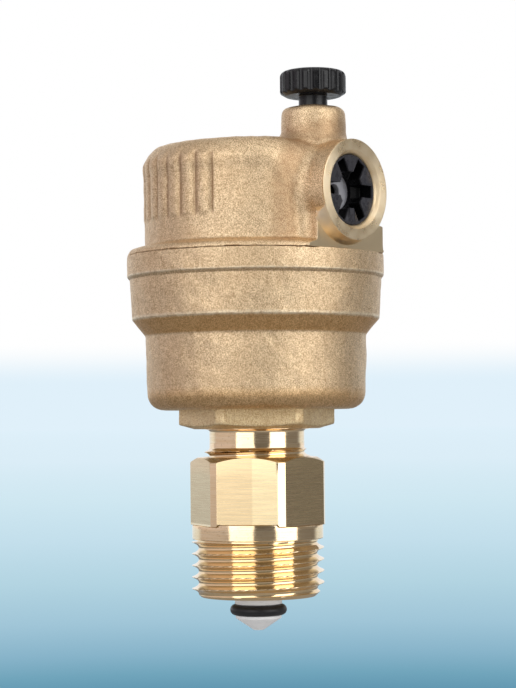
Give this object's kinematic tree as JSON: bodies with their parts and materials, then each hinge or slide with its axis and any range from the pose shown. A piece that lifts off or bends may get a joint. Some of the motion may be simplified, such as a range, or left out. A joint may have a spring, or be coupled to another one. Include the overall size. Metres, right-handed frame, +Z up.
{
  "type": "air release valve",
  "caption": "Brass float air vent with side outlet and black closing screw, on its spring check valve with hexagon and threaded inlet.",
  "frame": {"origin": "on the axis of the inlet thread, where the thread ends at the collar of the check valve", "axes": "+Z up along the axis of the valve, away from the pipe; +X out of the side outlet"},
  "size_m": [0.0407, 0.0406, 0.0865],
  "materials": {
    "machined_brass": "bright turned and milled brass",
    "cast_brass": "fine-grained casting, blasted matt",
    "white_plastic": "moulded white",
    "black_plastic": "moulded black, slightly glossy",
    "seal_rubber": "smooth black rubber",
    "spring_steel": "drawn stainless wire and strip",
    "float_plastic": "moulded natural plastic"
  },
  "bodies": {
    "check_valve": {"check_valve_body": "machined_brass", "plunger_spring": "spring_steel"},
    "plunger": {"plunger": "white_plastic", "plunger_head": "white_plastic", "plunger_seal": "seal_rubber"},
    "nipple_ring": {"nipple_seal": "seal_rubber"},
    "vent": {"float_chamber": "cast_brass", "cap": "cast_brass", "cap_seal": "seal_rubber", "outlet_insert": "black_plastic", "vent_nozzle": "machined_brass", "nozzle_seal": "seal_rubber", "lever_bracket": "spring_steel", "bracket_screws": "spring_steel", "lever_pin": "spring_steel"},
    "float": {"float_shell": "float_plastic", "float_lid": "float_plastic", "float_pin": "spring_steel"},
    "lever": {"float_lever": "float_plastic", "lever_pad": "seal_rubber"},
    "screw_ring": {"closing_screw_seal": "seal_rubber"},
    "closing_screw": {"closing_screw": "black_plastic"}
  },
  "joints": [
    {"name": "vent_lift", "type": "slide", "parent": "check_valve", "child": "nipple_ring", "axis": [0, 0, 1], "range_m": [0, 0.00802]},
    {"name": "vent_unscrew", "type": "hinge", "parent": "nipple_ring", "child": "vent", "pos_m": [0, 0, 0.0128], "axis": [0, 0, 1], "range_deg": [0, 2160]},
    {"name": "plunger_rise", "type": "slide", "parent": "check_valve", "child": "plunger", "axis": [0, 0, 1], "range_m": [0, 0.0026], "deforming": ["plunger_spring"]},
    {"name": "float_rise", "type": "slide", "parent": "vent", "child": "float", "axis": [0, 0, 1], "range_m": [0, 0.0048]},
    {"name": "lever_swing", "type": "hinge", "parent": "vent", "child": "lever", "pos_m": [0.0136, 0, 0.0416], "axis": [0, 1, 0], "range_deg": [0, 20.33]},
    {"name": "closing_screw_drop", "type": "slide", "parent": "vent", "child": "screw_ring", "axis": [0, 0, -1], "range_m": [0, 0.0016]},
    {"name": "closing_screw_turn", "type": "hinge", "parent": "screw_ring", "child": "closing_screw", "pos_m": [0.0122, 0, 0.0664], "axis": [0, 0, -1], "range_deg": [0, 720.01]}
  ],
  "couplings": [
    {"joint": "vent_lift", "follows": "vent_unscrew", "m_per_rad": 0.00021276},
    {"joint": "plunger_rise", "follows": "vent_unscrew", "m_per_rad": 0.000068967},
    {"joint": "lever_swing", "follows": "float_rise", "rad_per_m": 73.917},
    {"joint": "closing_screw_turn", "follows": "closing_screw_drop", "rad_per_m": 7854}
  ]
}
